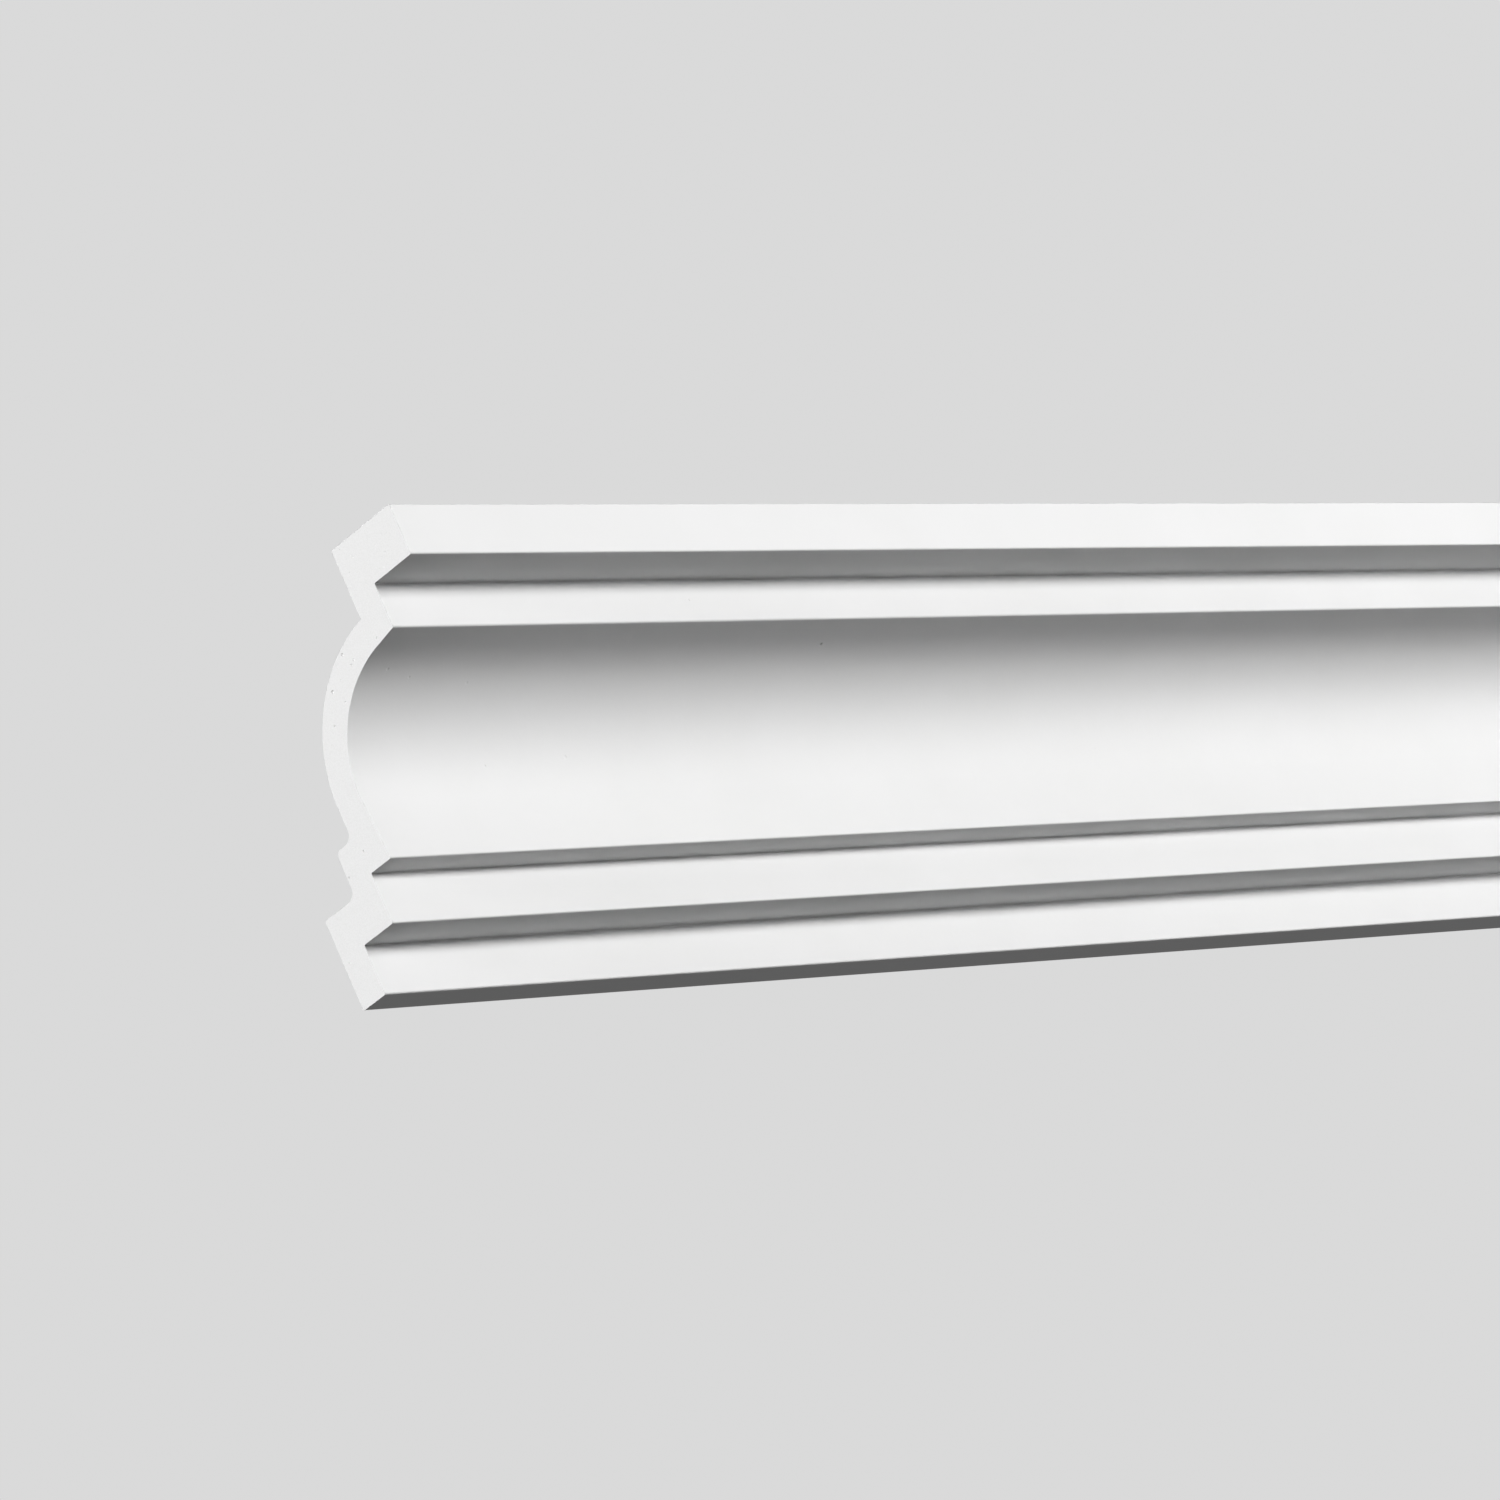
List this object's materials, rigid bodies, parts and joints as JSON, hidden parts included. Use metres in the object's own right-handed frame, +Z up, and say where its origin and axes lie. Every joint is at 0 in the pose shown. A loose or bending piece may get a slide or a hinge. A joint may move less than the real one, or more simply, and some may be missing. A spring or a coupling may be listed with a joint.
{
  "type": "cornice moulding length",
  "caption": "Coved cornice moulding of light rigid foam, primed white, with stepped fascias below and above the cove, fixed along the corner between a wall and a ceiling.",
  "frame": {"origin": "middle of the flat face that is fixed to the wall, at the middle of the length", "axes": "+X along the moulding, +Y into the wall, +Z up to the ceiling"},
  "size_m": [1, 0.07, 0.1],
  "materials": {
    "primed_foam": "smooth matte white primer over fine closed-cell foam, bare foam of the same white at the sawn ends"
  },
  "bodies": {
    "root": {"cornice_moulding": "primed_foam"}
  },
  "joints": []
}
